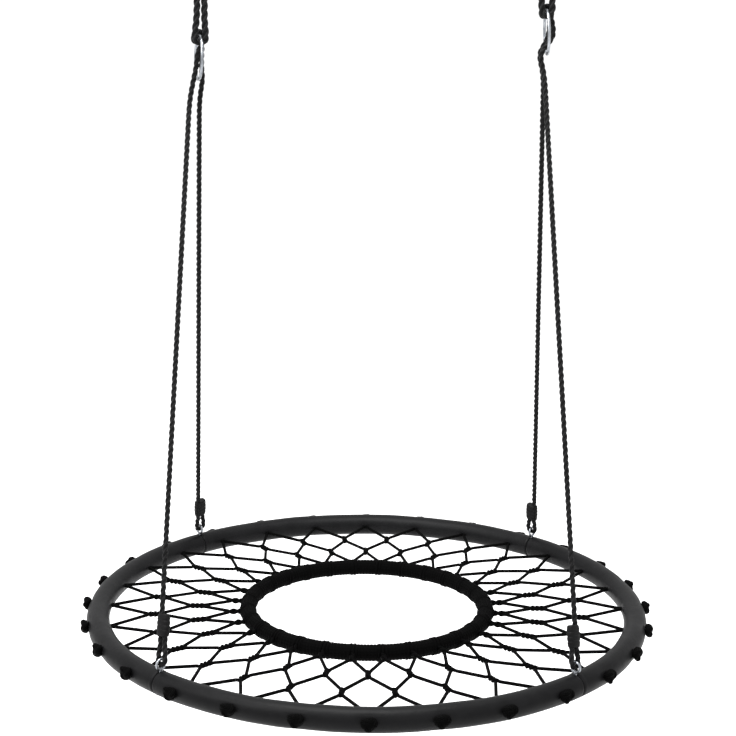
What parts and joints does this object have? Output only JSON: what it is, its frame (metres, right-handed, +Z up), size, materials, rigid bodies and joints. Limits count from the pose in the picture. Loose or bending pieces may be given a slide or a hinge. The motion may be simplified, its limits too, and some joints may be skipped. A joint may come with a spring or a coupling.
{
  "type": "round web swing",
  "caption": "Round swing seat with a padded steel hoop, a woven cord net around an open centre ring, four hanging ropes on two round rings, snap hooks and bolted swing hangers.",
  "frame": {"origin": "underside of the beam, midway between the two hangers", "axes": "+Z up, +X from the left hanger to the right one, the front towards -Y"},
  "size_m": [1.038, 1.038, 1.346],
  "materials": {
    "zinc_steel": "satin",
    "painted_steel": "satin",
    "foam": "matte",
    "cover_vinyl": "satin",
    "clamp_plastic": "matte",
    "nylon": "satin",
    "rope": "matte"
  },
  "bodies": {
    "hangers": {"left_hanger_bracket": "zinc_steel", "left_pivot_bolt": "zinc_steel", "left_pivot_nut": "zinc_steel", "left_pivot_bush": "nylon", "right_hanger_bracket": "zinc_steel", "right_pivot_bolt": "zinc_steel", "right_pivot_nut": "zinc_steel", "right_pivot_bush": "nylon"},
    "left_eye": {"left_hanger_eye": "zinc_steel"},
    "right_eye": {"right_hanger_eye": "zinc_steel"},
    "left_ropes": {"left_snap_hook": "zinc_steel", "left_gate_pin": "zinc_steel", "left_sling": "rope", "left_sling_clamp": "clamp_plastic", "left_ring": "zinc_steel", "left_ring_hitch": "rope", "left_front_rope": "rope", "left_back_rope": "rope", "left_front_clamp": "clamp_plastic", "left_back_clamp": "clamp_plastic"},
    "seat": {"back_cover": "cover_vinyl", "back_foam": "foam", "centre_ring_core": "painted_steel", "centre_ring_wrap": "rope", "front_cover": "cover_vinyl", "front_foam": "foam", "hoop_tube": "painted_steel", "left_back_rope_eye": "zinc_steel", "left_cover": "cover_vinyl", "left_foam": "foam", "left_front_rope_eye": "zinc_steel", "net_anchors": "rope", "net_centre_knots": "rope", "net_inner_knots": "rope", "net_inner_strands": "rope", "net_middle_strands": "rope", "net_outer_knots": "rope", "net_outer_strands": "rope", "right_back_rope_eye": "zinc_steel", "right_cover": "cover_vinyl", "right_foam": "foam", "right_front_rope_eye": "zinc_steel"},
    "right_ropes": {"right_snap_hook": "zinc_steel", "right_gate_pin": "zinc_steel", "right_sling": "rope", "right_sling_clamp": "clamp_plastic", "right_ring": "zinc_steel", "right_ring_hitch": "rope", "right_front_rope": "rope", "right_back_rope": "rope", "right_front_clamp": "clamp_plastic", "right_back_clamp": "clamp_plastic"},
    "left_gate": {"left_hook_gate": "zinc_steel"},
    "right_gate": {"right_hook_gate": "zinc_steel"}
  },
  "joints": [
    {"name": "swing", "type": "hinge", "parent": "hangers", "child": "left_eye", "pos_m": [-0.286, 0, -0.032], "axis": [1, 0, 0], "range_deg": [-45, 45]},
    {"name": "right_swing", "type": "hinge", "parent": "hangers", "child": "right_eye", "pos_m": [0.286, 0, -0.032], "axis": [1, 0, 0], "range_deg": [-45, 45]},
    {"name": "sway", "type": "hinge", "parent": "left_eye", "child": "left_ropes", "pos_m": [-0.286, 0, -0.0707], "axis": [0, 1, 0], "range_deg": [-10, 10]},
    {"name": "seat_level", "type": "hinge", "parent": "left_ropes", "child": "seat", "pos_m": [-0.33667, 0, -1.28483], "axis": [0, 1, 0], "range_deg": [-8.69, 8.69]},
    {"name": "right_ropes_sway", "type": "hinge", "parent": "seat", "child": "right_ropes", "pos_m": [0.33667, 0, -1.28483], "axis": [0, 1, 0], "range_deg": [-8.69, 8.69]},
    {"name": "left_gate_hinge", "type": "hinge", "parent": "left_ropes", "child": "left_gate", "pos_m": [-0.28817, -0.012, -0.12265], "axis": [0.9991, 0, -0.0417], "range_deg": [-20, 0], "stiffness_Nm_per_rad": 0.02, "springref_deg": 17.19},
    {"name": "right_gate_hinge", "type": "hinge", "parent": "right_ropes", "child": "right_gate", "pos_m": [0.28817, -0.012, -0.12265], "axis": [0.9991, 0, 0.0417], "range_deg": [-20, 0], "stiffness_Nm_per_rad": 0.02, "springref_deg": 17.19}
  ],
  "couplings": [
    {"joint": "right_swing", "follows": "swing", "ratio": 1},
    {"joint": "seat_level", "follows": "sway", "ratio": -0.84949},
    {"joint": "right_ropes_sway", "follows": "sway", "ratio": 0.84949}
  ]
}
